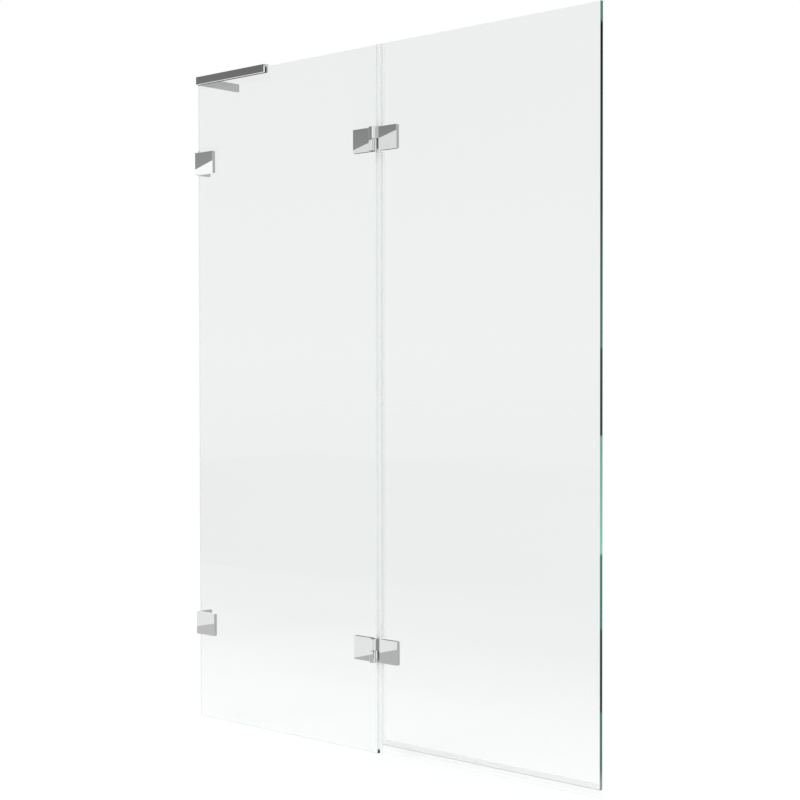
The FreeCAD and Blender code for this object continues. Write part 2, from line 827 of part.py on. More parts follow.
# The two panes
FIXED_COLUMNS = ["bracket_clamp_inset", f"{HINGE_X} - fixed_clamp_reach"]
DOOR_COLUMNS = [f"{HINGE_X} + door_clamp_reach"]
fixed_glass = glass_panel(
    "fixed_glass_panel",
    "fixed_width",
    "screen_height",
    [hole for column in FIXED_COLUMNS for hole in fitting_holes(f"{column} - wall_gap", "0")],
)
place(fixed_glass, x="wall_gap")
door_glass = glass_panel(
    "door_glass_panel",
    DOOR_WIDTH,
    "screen_height - door_rise",
    [hole for column in DOOR_COLUMNS for hole in fitting_holes(f"{column} - {DOOR_X}", "door_rise")],
)
place(door_glass, x=DOOR_X, z="door_rise")

# Brackets and hinges, upper and lower
for name, level in LEVELS.items():
    wall_bracket(name, level)
    hinge(name, level)

# Screws and sleeves through the glass
clamp_screw = sunk_screw(
    "clamp_screw",
    "screw_radius",
    "screw_head_radius",
    f"{BACK_FACE} + {PLATE_SEAT} + thread_depth",
    "socket_width",
    "socket_depth",
)
glass_sleeve = sleeve("glass_sleeve")
for side, columns in (("fixed", FIXED_COLUMNS), ("door", DOOR_COLUMNS)):
    group_of_copies(f"{side}_clamp_screws", clamp_screw, clamp_places(columns, BACK_FACE))
    sleeve_places = clamp_places(columns, "-glass_thickness / 2")
    group_of_copies(f"{side}_glass_sleeves", glass_sleeve, sleeve_places)

# Top brace and its screws
brace_channel()
brace_wall_arm()
brace_liner()
corner_screw = sunk_screw(
    "corner_screw",
    "corner_screw_radius",
    "corner_screw_head_radius",
    "brace_cheek + corner_screw_grip",
    "corner_socket_width",
    "corner_socket_depth",
)
group_of_copies(
    "brace_corner_screws",
    corner_screw,
    [(HEAD_TO_ROOM, x, SLOT_HALF, f"screen_height + {z}") for x, z in corner_screw_places()],
)
stud_lock_height = f"screen_height + {BRACE_BOTTOM} + grub_recess"
group_of_copies(
    "brace_grub_screws",
    grub_screw("grub_screw"),
    [(HEAD_TO_BATH, x, BRACE_HALF, f"screen_height + {z}") for x, z in brace_clamp_places()]
    + [(HEAD_DOWN, "stud_depth / 2", y, stud_lock_height) for y in stud_places()],
)

# Seals: three lengths beside the hinges and one under the door
above_lower = f"{LEVELS['lower']} + {HALF_HINGE} + seal_hinge_gap"
below_lower = f"{LEVELS['lower']} - {HALF_HINGE} - seal_hinge_gap"
above_upper = f"{LEVELS['upper']} + {HALF_HINGE} + seal_hinge_gap"
below_upper = f"{LEVELS['upper']} - {HALF_HINGE} - seal_hinge_gap"
gap_seal("lower_gap_seal", "gap_seal_rise", below_lower)
gap_seal("middle_gap_seal", above_lower, below_upper)
gap_seal("upper_gap_seal", above_upper, "screen_height")
door_bottom_seal()

doc.recompute()
for thing in doc.Objects:
    if "Invalid" in thing.State or "Error" in thing.State:
        raise RuntimeError(f"{thing.Label} failed: {thing.State}")
for piece in sub_parts:
    if piece.Shape.isNull() or not piece.Shape.isValid() or not piece.Shape.Solids:
        raise RuntimeError(f"{piece.Label} has no sound solid")

os.makedirs("parts", exist_ok=True)
for piece in sub_parts:
    piece.Shape.exportStep(f"parts/{piece.Label}.step")
print(len(sub_parts), "sub-parts written")
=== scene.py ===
# %% [markdown]
# # A frameless bath screen
# The screen is two panes of clear toughened glass. One is held to the wall by two brackets and a
# brace, the other swings on two hinges. The solids come ready made from the shared frame, at their
# real size, so this lesson is about looks: glass that is clear in its face and green in its edge,
# chrome that needs something to reflect, and soft clear seals.

# %% Load the frame
import math

import bpy
from mathutils import Euler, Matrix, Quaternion, Vector


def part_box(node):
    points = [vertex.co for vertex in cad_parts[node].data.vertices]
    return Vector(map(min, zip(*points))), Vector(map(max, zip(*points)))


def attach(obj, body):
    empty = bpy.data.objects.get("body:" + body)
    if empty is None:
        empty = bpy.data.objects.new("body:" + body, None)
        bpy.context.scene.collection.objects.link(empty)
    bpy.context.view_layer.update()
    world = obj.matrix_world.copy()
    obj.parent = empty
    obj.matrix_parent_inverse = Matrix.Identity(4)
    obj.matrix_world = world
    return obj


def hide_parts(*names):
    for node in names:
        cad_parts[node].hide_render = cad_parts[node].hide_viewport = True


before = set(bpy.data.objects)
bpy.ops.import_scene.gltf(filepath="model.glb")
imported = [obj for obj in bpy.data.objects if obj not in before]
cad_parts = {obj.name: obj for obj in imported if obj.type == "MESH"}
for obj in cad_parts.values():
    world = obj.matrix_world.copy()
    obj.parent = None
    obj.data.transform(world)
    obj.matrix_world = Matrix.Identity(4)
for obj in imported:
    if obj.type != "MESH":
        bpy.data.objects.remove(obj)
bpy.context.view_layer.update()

# %% [markdown]
# ## Camera
# The photograph looks at the room side of the screen from the right, from a little over half its
# height. The place and the lens were found by fitting a camera to the corners of the glass, so the
# render can be laid over the photograph. A small shift keeps the upright edges upright, as a
# product photographer would.

# %% Camera
CAMERA_PLACE = Vector((2.8627, -2.4426, 0.7970))
CAMERA_AZIMUTH = math.radians(42.304)
CAMERA_PITCH = math.radians(1.126)
CAMERA_ROLL = math.radians(-0.089)
CAMERA_LENS = 71.13
CAMERA_SHIFT = 0.0115

bpy.ops.object.select_all(action="DESELECT")
bpy.ops.object.camera_add(location=CAMERA_PLACE)
camera = bpy.context.object
camera.name = "photo_camera"
camera.rotation_mode = "QUATERNION"
level_view = Euler((math.pi / 2 - CAMERA_PITCH, 0, CAMERA_AZIMUTH)).to_quaternion()
camera.rotation_quaternion = level_view @ Quaternion((0, 0, 1), CAMERA_ROLL)
camera.data.lens = CAMERA_LENS
camera.data.shift_y = CAMERA_SHIFT
bpy.context.scene.camera = camera
print("camera", round(camera.location.length, 2), "m from the foot of the wall")

# %% [markdown]
# ## Light
# A white world gives even studio light, in which a colour shows about as it is written. One large,
# soft sun adds a little direction, enough to part the faces of a seal. The view transform is
# Standard, so white stays white.

# %% World and sun
SUN_STRENGTH = 0.7
SUN_SOFTNESS = math.radians(50)
SUN_TILT = (math.radians(38), 0, math.radians(-20))

scene = bpy.context.scene
scene.view_settings.view_transform = "Standard"
world = bpy.data.worlds.new("white_studio")
world.use_nodes = True
world.node_tree.nodes["Background"].inputs["Color"].default_value = (1, 1, 1, 1)
world.node_tree.nodes["Background"].inputs["Strength"].default_value = 1
scene.world = world

bpy.ops.object.light_add(type="SUN", rotation=SUN_TILT)
sun = bpy.context.object
sun.name = "soft_sun"
sun.data.energy = SUN_STRENGTH
sun.data.angle = SUN_SOFTNESS
print("world at 1, sun at", SUN_STRENGTH)

# %% [markdown]
# ## Node helpers
# Every finish below starts from one Principled shader. A short helper makes the material and hands
# back its tree. A second one places a node and sets its values, so that a finish reads as a list of
# what is in it. Two more turn a mask into a colour or a number.

# %% Node helpers
def new_finish(name):
    """An empty finish: the material, its node tree and its Principled shader."""
    finish = bpy.data.materials.new(name)
    finish.use_nodes = True
    tree = finish.node_tree
    return finish, tree, tree.nodes["Principled BSDF"]


def add_node(tree, kind, **values):
    """A node of a kind, with the given values on its inputs by name."""
    node = tree.nodes.new(kind)
    for name, value in values.items():
        node.inputs[name.replace("_", " ")].default_value = value
    return node


def mix_colours(tree, mask, low, high):
    """A colour between two colours, by a mask."""
    mix = tree.nodes.new("ShaderNodeMix")
    mix.data_type = "RGBA"
    mix.inputs["A"].default_value = (*low, 1)
    mix.inputs["B"].default_value = (*high, 1)
    tree.links.new(mask, mix.inputs["Factor"])
    return mix.outputs["Result"]


def spread(tree, mask, low, high):
    """A number between two numbers, by a mask."""
    scale = add_node(tree, "ShaderNodeMapRange", To_Min=low, To_Max=high)
    tree.links.new(mask, scale.inputs["Value"])
    return scale.outputs["Result"]


# %% [markdown]
# ## Mottle, an effect that all finishes share
# No real surface is one even colour: plating has a faint haze, rubber is blotchy and nylon is
# cloudy. All of that is noise at some size, stretched or not, so it is built once as a node group.
# The group puts out a mask from 0 to 1 and leaves it to each finish what the mask does.

# %% Mottle group
def make_mottle():
    """Node group: soft noise on object coordinates, stretched along the axes, as a mask."""
    group = bpy.data.node_groups.new("mottle", "ShaderNodeTree")
    sockets = group.interface
    size = sockets.new_socket("Size", in_out="INPUT", socket_type="NodeSocketFloat")
    size.default_value = 50
    stretch = sockets.new_socket("Stretch", in_out="INPUT", socket_type="NodeSocketVector")
    stretch.default_value = (1, 1, 1)
    sockets.new_socket("Mask", in_out="OUTPUT", socket_type="NodeSocketFloat")
    given = group.nodes.new("NodeGroupInput")
    result = group.nodes.new("NodeGroupOutput")
    place = group.nodes.new("ShaderNodeTexCoord")
    turn = group.nodes.new("ShaderNodeMapping")
    noise = add_node(group, "ShaderNodeTexNoise", Detail=4, Roughness=0.55)
    level = add_node(group, "ShaderNodeMapRange", From_Min=0.3, From_Max=0.7)
    group.links.new(place.outputs["Object"], turn.inputs["Vector"])
    group.links.new(given.outputs["Stretch"], turn.inputs["Scale"])
    group.links.new(turn.outputs["Vector"], noise.inputs["Vector"])
    group.links.new(given.outputs["Size"], noise.inputs["Scale"])
    group.links.new(noise.outputs["Fac"], level.inputs["Value"])
    group.links.new(level.outputs["Result"], result.inputs["Mask"])
    return group


mottle_group = make_mottle()


def mottle(tree, size, stretch=(1, 1, 1)):
    """Places the mottle in a finish and gives its mask."""
    node = tree.nodes.new("ShaderNodeGroup")
    node.node_tree = mottle_group
    node.inputs["Size"].default_value = size
    node.inputs["Stretch"].default_value = stretch
    return node.outputs["Mask"]


print("group", mottle_group.name, "with", len(mottle_group.nodes), "nodes")

# %% [markdown]
# ## Chrome
# The fittings are polished and chrome plated. Chrome is a near-perfect mirror with a touch of blue,
# so what it shows is the studio. The mottle lays a barely visible haze over it, in colour and in
# roughness, because an ideal mirror looks computed.

# %% Metal maker and chrome
CHROME_COLOURS = (0.92, 0.925, 0.93), (0.955, 0.96, 0.965)
CHROME_ROUGHNESS = (0.004, 0.012)
CHROME_HAZE_SIZE = 60


def make_metal(name, colours, rough, size, stretch=(1, 1, 1)):
    """A metal between two colours, with its roughness range and its haze's size and stretch."""
    finish, tree, shader = new_finish(name)
    haze = mottle(tree, size, stretch)
    tree.links.new(mix_colours(tree, haze, *colours), shader.inputs["Base Color"])
    tree.links.new(spread(tree, haze, *rough), shader.inputs["Roughness"])
    shader.inputs["Metallic"].default_value = 1
    return finish


chrome = make_metal("polished_chrome", CHROME_COLOURS, CHROME_ROUGHNESS, CHROME_HAZE_SIZE)
print("made", chrome.name)

# %% [markdown]
# ## Steel
# Screws and hinge pins are plain stainless steel, turned on a lathe. Turning leaves fine rings, so
# the mottle is squeezed along the axis of each piece: the noise then changes quickly along it and
# slowly round it. Most screws lie along Y, and the pins stand along Z.

# %% Steel
STEEL_COLOURS = (0.50, 0.50, 0.49), (0.68, 0.68, 0.67)
STEEL_ROUGHNESS = (0.22, 0.40)
STEEL_RING_SIZE = 150
RINGS_ALONG_Y = (1, 12, 1)
RINGS_ALONG_Z = (1, 1, 12)

turned_screws = make_metal(
    "turned_steel_screws", STEEL_COLOURS, STEEL_ROUGHNESS, STEEL_RING_SIZE, RINGS_ALONG_Y
)
turned_pins = make_metal(
    "turned_steel_pins", STEEL_COLOURS, STEEL_ROUGHNESS, STEEL_RING_SIZE, RINGS_ALONG_Z
)
print("made", turned_screws.name, "and", turned_pins.name)

# %% [markdown]
# ## Rubber and nylon
# Gaskets and the brace's liner are moulded rubber, and the sleeves and bushes are turned nylon,
# natural white or filled with grey. All look soft: rough, cloudy and never quite one colour. One
# maker with a few values does for the four. A Bump node turns the same mask into a faint
# unevenness.

# %% Soft finishes
SOFT_IOR = 1.5
BUMP_STRENGTH = 0.2


def make_soft(name, low, high, rough, size, depth):
    """A rubber or plastic between two colours, with its roughness range, grain size and depth."""
    finish, tree, shader = new_finish(name)
    cloud = mottle(tree, size)
    tree.links.new(mix_colours(tree, cloud, low, high), shader.inputs["Base Color"])
    tree.links.new(spread(tree, cloud, *rough), shader.inputs["Roughness"])
    bump = add_node(tree, "ShaderNodeBump", Strength=BUMP_STRENGTH, Distance=depth)
    tree.links.new(cloud, bump.inputs["Height"])
    tree.links.new(bump.outputs["Normal"], shader.inputs["Normal"])
    shader.inputs["IOR"].default_value = SOFT_IOR
    return finish


gasket_rubber = make_soft(
    "pale_gasket_rubber",
    low=(0.60, 0.61, 0.60),
    high=(0.70, 0.71, 0.70),
    rough=(0.55, 0.75),
    size=220,
    depth=0.0002,
)
liner_rubber = make_soft(
    "black_liner_rubber",
    low=(0.012, 0.012, 0.012),
    high=(0.03, 0.03, 0.03),
    rough=(0.5, 0.7),
    size=260,
    depth=0.0002,
)
white_nylon = make_soft(
    "white_nylon",
    low=(0.80, 0.80, 0.76),
    high=(0.88, 0.88, 0.84),
    rough=(0.35, 0.5),
    size=120,
    depth=0.0001,
)
grey_nylon = make_soft(
    "grey_nylon",
    low=(0.15, 0.15, 0.15),
    high=(0.20, 0.20, 0.20),
    rough=(0.35, 0.5),
    size=120,
    depth=0.0001,
)
print("made", [finish.name for finish in (gasket_rubber, liner_rubber, white_nylon, grey_nylon)])

# %% [markdown]
# ## Masks by place
# A strip that thins out, a pane that is clearest at its foot and a card that darkens upwards all
# change along one axis. A first helper turns a stretch of an axis into a mask, and a second adds a
# little mottle to a mask, so that nothing changes too evenly.

# %% Masks by place
def rise_between(tree, low, high, axis="Z", full=1.0):
    """A mask along an axis: 0 before one place, full after another. On Z, places are heights."""
    place = tree.nodes.new("ShaderNodeTexCoord")
    split = tree.nodes.new("ShaderNodeSeparateXYZ")
    rise = add_node(tree, "ShaderNodeMapRange", From_Min=low, From_Max=high, To_Max=full)
    tree.links.new(place.outputs["Object"], split.inputs["Vector"])
    tree.links.new(split.outputs[axis], rise.inputs["Value"])
    return rise.outputs["Result"]


def add_cloud(tree, mask, size, share):
    """A mask with a share of mottle added."""
    total = tree.nodes.new("ShaderNodeMath")
    tree.links.new(mask, total.inputs[0])
    tree.links.new(spread(tree, mottle(tree, size), 0, share), total.inputs[1])
    return total.outputs["Value"]


# %% [markdown]
# ## Clear vinyl
# The seals are clear vinyl, thin enough to see the glass edge behind them. Bending light hardly
# shows in so thin a strip, so the strip is a film: Alpha lets much of the light straight through,
# and the rest is a soft white haze, a little uneven from the mottle. A real strip is thinner
# towards its rim, so the film gets clearer to the rim of the strips in the gap and to the lip of
# the one under the door. That strip also turns paler towards its lip, and this paler colour is
# painted light. The lowest strip in the gap is paler in the photograph and has a film of its own.
# A clear strip hardly shades what is behind it, so the rays that ask how much light a matt surface
# gets go through a Transparent shader instead. The glass below needs the same.

# %% Clear vinyl
CLEAR_LOSS = (0.98, 0.99, 0.985, 1)
FILM_CLOUD = 0.06
FILM_CLOUD_SIZE = 30
FILM_ROUGHNESS = (0.25, 0.4)
FILM_SHINE = 0.2
# Where a film changes, in metres along X or Z, and its cover before and after.
GAP_RIM = (0.5895, 0.5925)
GAP_COVER = (0.38, 0.08)
LIP_TOP = (0.0210, 0.0240)
LIP_COVER = (0.07, 0.21)


def let_light_through(tree, shader_socket):
    """Lets the rays that gather light for other surfaces pass, and gives all others the shader."""
    path = tree.nodes.new("ShaderNodeLightPath")
    clear = add_node(tree, "ShaderNodeBsdfTransparent", Color=CLEAR_LOSS)
    for kind in ("Is Shadow Ray", "Is Diffuse Ray"):
        choose = tree.nodes.new("ShaderNodeMixShader")
        tree.links.new(path.outputs[kind], choose.inputs[0])
        tree.links.new(shader_socket, choose.inputs[1])
        tree.links.new(clear.outputs["BSDF"], choose.inputs[2])
        shader_socket = choose.outputs["Shader"]
    tree.links.new(shader_socket, tree.nodes["Material Output"].inputs["Surface"])


def make_film(name, low, high, cover, change, axis):
    """A see-through film that goes from one colour and cover to another, between two places."""
    finish, tree, shader = new_finish(name)
    step = rise_between(tree, *change, axis, full=1 - FILM_CLOUD)
    haze = add_cloud(tree, step, FILM_CLOUD_SIZE, FILM_CLOUD)
    tree.links.new(mix_colours(tree, haze, low, high), shader.inputs["Base Color"])
    tree.links.new(spread(tree, haze, *FILM_ROUGHNESS), shader.inputs["Roughness"])
    tree.links.new(spread(tree, haze, *cover), shader.inputs["Alpha"])
    shader.inputs["Specular IOR Level"].default_value = FILM_SHINE
    let_light_through(tree, shader.outputs["BSDF"])
    return finish


clear_vinyl = make_film(
    "clear_vinyl",
    low=(0.775, 0.785, 0.780),
    high=(0.800, 0.810, 0.805),
    cover=GAP_COVER,
    change=GAP_RIM,
    axis="X",
)
pale_vinyl = make_film(
    "pale_vinyl",
    low=(0.870, 0.880, 0.875),
    high=(0.880, 0.890, 0.885),
    cover=GAP_COVER,
    change=GAP_RIM,
    axis="X",
)
# Under the door the film is paler at its lip: painted light.
milky_vinyl_painted_lip = make_film(
    "milky_vinyl_painted_lip",
    low=(0.90, 0.91, 0.905),
    high=(0.755, 0.765, 0.760),
    cover=LIP_COVER,
    change=LIP_TOP,
    axis="Z",
)
print("made", [finish.name for finish in (clear_vinyl, pale_vinyl, milky_vinyl_painted_lip)])

# %% [markdown]
# ## Finishes on the carried-over solids
# The brackets, hinges, brace, screws and seals keep their solids, because a machined piece is what
# a solid modeller makes best. Each gets a finish by what its name ends in, and the first ending
# that fits counts.

# %% Dress the solids
FINISH_BY_ENDING = {
    "angle": chrome,
    "plate": chrome,
    "leaf": chrome,
    "channel": chrome,
    "arm": chrome,
    "pin": turned_pins,
    "screws": turned_screws,
    "gasket": gasket_rubber,
    "liner": liner_rubber,
    "bush": grey_nylon,
    "sleeves": white_nylon,
    "lower_gap_seal": pale_vinyl,
    "gap_seal": clear_vinyl,
    "bottom_seal": milky_vinyl_painted_lip,
}
dressed = []
for name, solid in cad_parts.items():
    for ending, finish in FINISH_BY_ENDING.items():
        if f"_{name}".endswith(f"_{ending}"):
            solid.data.materials.clear()
            solid.data.materials.append(finish)
            dressed.append(name)
            break
print("dressed", len(dressed), "solids")

# %% [markdown]
# ## Clear glass
# A pane is nearly invisible from the front: it takes a little light away and leaves a trace of
# green. The Principled shader with full transmission does the bending. Its own colour is the loss.
# Over that loss a slow gradient up the pane is painted light: it makes the pane clearest and
# brightest at its foot, as in the photograph. A refracting surface stops the rays that gather
# light for other surfaces, so they go straight through here too, and the shadow of a pane stays as
# faint as it is in a room.

# %% Clear glass
GLASS_IOR = 1.52
FACE_SHINE = 0.02
PANE_TOP = 1.5
# The loss of the glass by height, with painted light that brightens it towards the foot.
PANE_LOSS_AND_PAINTED_LIGHT = [
    (0.035, (0.960, 0.976, 0.968)),
    (0.130, (0.924, 0.940, 0.932)),
    (0.270, (0.850, 0.868, 0.859)),
    (0.400, (0.832, 0.850, 0.841)),
    (0.850, (0.864, 0.882, 0.873)),
    (PANE_TOP, (0.847, 0.865, 0.856)),
]


def glass_shader(shader, shine):
    """Sets a Principled shader to clear glass, with the share of its reflections that is kept."""
    shader.inputs["Roughness"].default_value = 0
    shader.inputs["IOR"].default_value = GLASS_IOR
    shader.inputs["Specular Tint"].default_value = (shine, shine, shine, 1)
    shader.inputs["Transmission Weight"].default_value = 1


def colours_by_height(tree, stops):
    """A colour ramp up the pane, from a list of heights and colours."""
    ramp = tree.nodes.new("ShaderNodeValToRGB")
    marks = ramp.color_ramp.elements
    while len(marks) < len(stops):
        marks.new(1)
    for mark, (height, colour) in zip(marks, stops):
        mark.position = height / PANE_TOP
        mark.color = (*colour, 1)
    tree.links.new(rise_between(tree, 0, PANE_TOP), ramp.inputs["Fac"])
    return ramp.outputs["Color"]


def make_clear_glass():
    """The finish of a pane's large faces."""
    finish, tree, shader = new_finish("clear_glass_face")
    glass_shader(shader, FACE_SHINE)
    tree.links.new(colours_by_height(tree, PANE_LOSS_AND_PAINTED_LIGHT), shader.inputs["Base Color"])
    let_light_through(tree, shader.outputs["BSDF"])
    return finish


clear_glass = make_clear_glass()
print("made", clear_glass.name)

# %% [markdown]
# ## Ground edge
# Seen into its edge, the same glass is deep green, because light crosses half a metre of it. The
# dark and light stretches are reflections that the pane pipes along inside. Following that light
# would take hundreds of bounces, so the edge is a finish of its own: over the deep green, a few
# bands up the pane are painted reflections, with the fine grain that the grinding wheel left. Some
# edges also get a painted glow for the light piped to them. From inside the pane the edge has to
# stay clear, and Backfacing picks the glass shader there.

# %% Maker of ground edges
EDGE_ROUGHNESS = 0.25
EDGE_SHINE = 0.0
GRAIN_SIZE = 90
GRAIN_STRETCH = (1, 6, 0.2)
FULL_SHINE = 1.0


def with_grain(tree, colour, strength):
    """A colour with the fine grain of the grinding wheel over it."""
    grain = tree.nodes.new("ShaderNodeMix")
    grain.data_type = "RGBA"
    grain.blend_type = "MULTIPLY"
    grain.inputs["Factor"].default_value = strength
    tree.links.new(colour, grain.inputs["A"])
    tree.links.new(mottle(tree, GRAIN_SIZE, GRAIN_STRETCH), grain.inputs["B"])
    return grain.outputs["Result"]


def clear_from_inside(tree, surface):
    """The given surface from outside the pane, and clear glass from inside it."""
    inside = tree.nodes.new("ShaderNodeBsdfPrincipled")
    glass_shader(inside, FULL_SHINE)
    side = tree.nodes.new("ShaderNodeNewGeometry")
    choose = tree.nodes.new("ShaderNodeMixShader")
    tree.links.new(side.outputs["Backfacing"], choose.inputs[0])
    tree.links.new(surface, choose.inputs[1])
    tree.links.new(inside.outputs["BSDF"], choose.inputs[2])
    return choose.outputs["Shader"]


def make_ground_edge(name, tones, grain, glow=0.0, clear_inside=True):
    """A ground edge: colours by height, grain, painted glow for piped light, look from inside."""
    finish, tree, shader = new_finish(name)
    colour = with_grain(tree, colours_by_height(tree, tones), grain)
    tree.links.new(colour, shader.inputs["Base Color"])
    # Emission is a painted glow, for light that the pane pipes to the edge.
    tree.links.new(colour, shader.inputs["Emission Color"])
    shader.inputs["Emission Strength"].default_value = glow
    shader.inputs["Roughness"].default_value = EDGE_ROUGHNESS
    shader.inputs["Specular IOR Level"].default_value = EDGE_SHINE
    surface = shader.outputs["BSDF"]
    if clear_inside:
        surface = clear_from_inside(tree, surface)
    let_light_through(tree, surface)
    return finish


# %% [markdown]
# ### Free edge
# The door's free edge shows the painted reflection bands best. Two stops 2 mm apart make a sharp
# border, and stops far apart make a slow change.

# %% Free edge
COARSE_GRAIN = 0.15
# Deep greens of the edge, with bands of painted reflection up the pane.
FREE_EDGE_GREENS_AND_REFLECTIONS = [
    (0.000, (0.30, 0.34, 0.33)),
    (0.034, (0.29, 0.35, 0.33)),
    (0.062, (0.089, 0.205, 0.165)),
    (0.165, (0.089, 0.205, 0.165)),
    (0.167, (0.040, 0.082, 0.066)),
    (0.326, (0.040, 0.082, 0.066)),
    (0.328, (0.085, 0.218, 0.180)),
    (0.465, (0.085, 0.218, 0.180)),
    (0.467, (0.290, 0.570, 0.495)),
    (0.689, (0.185, 0.390, 0.330)),
    (0.691, (0.035, 0.072, 0.058)),
    (0.850, (0.038, 0.076, 0.062)),
    (0.852, (0.092, 0.208, 0.170)),
    (1.140, (0.030, 0.064, 0.050)),
    (1.461, (0.010, 0.016, 0.014)),
    (1.463, (0.100, 0.205, 0.178)),
    (PANE_TOP, (0.105, 0.208, 0.183)),
]

free_edge_painted_reflections = make_ground_edge("free_ground_edge_painted_reflections", FREE_EDGE_GREENS_AND_REFLECTIONS, COARSE_GRAIN)
print("made", free_edge_painted_reflections.name, "with", len(FREE_EDGE_GREENS_AND_REFLECTIONS), "stops")

# %% [markdown]
# ### Seams and arrises
# The edges at the gap are pale: painted light, for the light that reaches them from both sides.
# The door's edge there also has a painted glow. The fixed pane's edge is dark behind the hinges,
# which is painted shade, and dark green at its foot. An arris, the narrow flat between edge and
# face, is matt. Its tones are painted light and shade: on the fixed pane it is pale along the top,
# with a faint painted glow, grey at the wall and at the foot, and dark along the gap, where the
# painted shade draws the thin line beside the seal. On the door only the top has one of its own.

# %% Seams and arrises
FINE_GRAIN = 0.03
DOOR_SEAM_PAINTED_GLOW = 0.45
PAINTED_ARRIS_GLOW = 0.1
DARK_FOOT = (0.042, 0.099, 0.089)
PAINTED_HINGE_SHADE = (0.179, 0.188, 0.183)
PAINTED_LIGHT_SEAM = (0.752, 0.790, 0.771)
# Arris tones are painted light and shade: pale on top, grey at wall and foot, dark in the gap.
PAINTED_LIGHT_ARRIS = (0.85, 0.88, 0.865)
PAINTED_SHADE_ARRIS = (0.77, 0.79, 0.78)
PAINTED_GAP_SHADE_ARRIS = (0.050, 0.060, 0.055)
# Pale stretches are painted light, and the grey stretches behind the hinges are painted shade.
FIXED_SEAM_PAINTED_TONES = [
    (0.000, DARK_FOOT),
    (0.007, DARK_FOOT),
    (0.009, PAINTED_LIGHT_SEAM),
    (0.193, PAINTED_LIGHT_SEAM),
    (0.195, PAINTED_HINGE_SHADE),
    (0.239, PAINTED_HINGE_SHADE),
    (0.241, PAINTED_LIGHT_SEAM),
    (1.278, PAINTED_LIGHT_SEAM),
    (1.280, PAINTED_HINGE_SHADE),
    (1.326, PAINTED_HINGE_SHADE),
    (1.328, PAINTED_LIGHT_SEAM),
    (PANE_TOP, PAINTED_LIGHT_SEAM),
]


def even(colour):
    """Stops for one colour from the foot to the top, which the grain then varies."""
    return [(0, colour), (PANE_TOP, colour)]


painted_light_arris = make_ground_edge(
    "painted_light_ground_arris", even(PAINTED_LIGHT_ARRIS), FINE_GRAIN, PAINTED_ARRIS_GLOW, clear_inside=False
)
painted_shade_arris = make_ground_edge(
    "painted_shade_ground_arris", even(PAINTED_SHADE_ARRIS), FINE_GRAIN, clear_inside=False
)
painted_gap_shade_arris = make_ground_edge("painted_gap_shade_ground_arris", even(PAINTED_GAP_SHADE_ARRIS), FINE_GRAIN)
painted_fixed_seam = make_ground_edge("fixed_seam_painted_light_and_shade", FIXED_SEAM_PAINTED_TONES, FINE_GRAIN)
painted_door_seam = make_ground_edge("door_seam_painted_light", even(PAINTED_LIGHT_SEAM), FINE_GRAIN, DOOR_SEAM_PAINTED_GLOW)
edges = (painted_light_arris, painted_shade_arris, painted_gap_shade_arris, painted_fixed_seam, painted_door_seam)
print("made", [finish.name for finish in edges])

# %% [markdown]
# ## The panes
# A pane is sawn, its edges are ground to a small flat called an arris, and holes are drilled before
# it is toughened. The same steps work here: a cube at the pane's size, a bevel on the long edges
# and a Boolean with cylinders. New panes are worth it, because a face and an edge then have a
# finish each. The bevel comes first: it acts on the selected edges, which are those that don't run
# through the thickness of the pane.

# %% Cut a pane
ARRIS = 0.0008
ARRIS_STEPS = 2


def cut_pane(name, low, high):
    """A sheet of glass between two corners, with an arris along its edges."""
    bpy.ops.object.select_all(action="DESELECT")
    bpy.ops.mesh.primitive_cube_add(size=1, location=(low + high) / 2, scale=high - low)
    pane = bpy.context.object
    pane.name = name
    bpy.ops.object.transform_apply(location=True, rotation=True, scale=True)
    bpy.ops.object.mode_set(mode="EDIT")
    bpy.ops.mesh.select_all(action="DESELECT")
    bpy.ops.object.mode_set(mode="OBJECT")
    for edge in pane.data.edges:
        start, end = (pane.data.vertices[k].co for k in edge.vertices)
        edge.select = abs(start.y - end.y) < ARRIS
    bpy.ops.object.mode_set(mode="EDIT")
    bpy.ops.mesh.select_mode(type="EDGE")
    bpy.ops.mesh.bevel(offset=ARRIS, offset_type="WIDTH", segments=ARRIS_STEPS)
    bpy.ops.object.mode_set(mode="OBJECT")
    return pane


# %% [markdown]
# ### Drilled holes
# Each clamp of a fitting has two screws through the glass, one above the other. The heights come
# from the bracket plates in the frame, so the holes stay with the fittings. All bits are joined to
# one cutter, so that one Boolean drills a pane.

# %% Drill a pane
HOLE_RADIUS = 0.006
HOLE_SIDES = 48
CLAMP_PITCH = 0.022


def only(thing):
    """Selects one object and makes it active."""
    bpy.ops.object.select_all(action="DESELECT")
    thing.select_set(True)
    bpy.context.view_layer.objects.active = thing


def clamp_holes(columns):
    """Middles of the drilled holes: two at each fitting, upper and lower."""
    middles = []
    for level in ("upper", "lower"):
        low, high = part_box(f"{level}_wall_bracket_front_plate")
        middle = (low.z + high.z) / 2
        middles += [(x, middle + side * CLAMP_PITCH / 2) for x in columns for side in (1, -1)]
    return middles


def drill(pane, holes, depth):
    """Cuts round holes through the pane."""
    bits = []
    for x, z in holes:
        bpy.ops.mesh.primitive_cylinder_add(
            vertices=HOLE_SIDES,
            radius=HOLE_RADIUS,
            depth=depth,
            location=(x, 0, z),
            rotation=(math.pi / 2, 0, 0),
        )
        bits.append(bpy.context.object)
    bpy.ops.object.select_all(action="DESELECT")
    for bit in bits:
        bit.select_set(True)
    bpy.context.view_layer.objects.active = bits[0]
    bpy.ops.object.join()
    cutter = bpy.context.object
    only(pane)
    cut = pane.modifiers.new("drill", "BOOLEAN")
    cut.object = cutter
    cut.operation = "DIFFERENCE"
    bpy.ops.object.modifier_apply(modifier=cut.name)
    only(cutter)
    bpy.ops.object.delete()


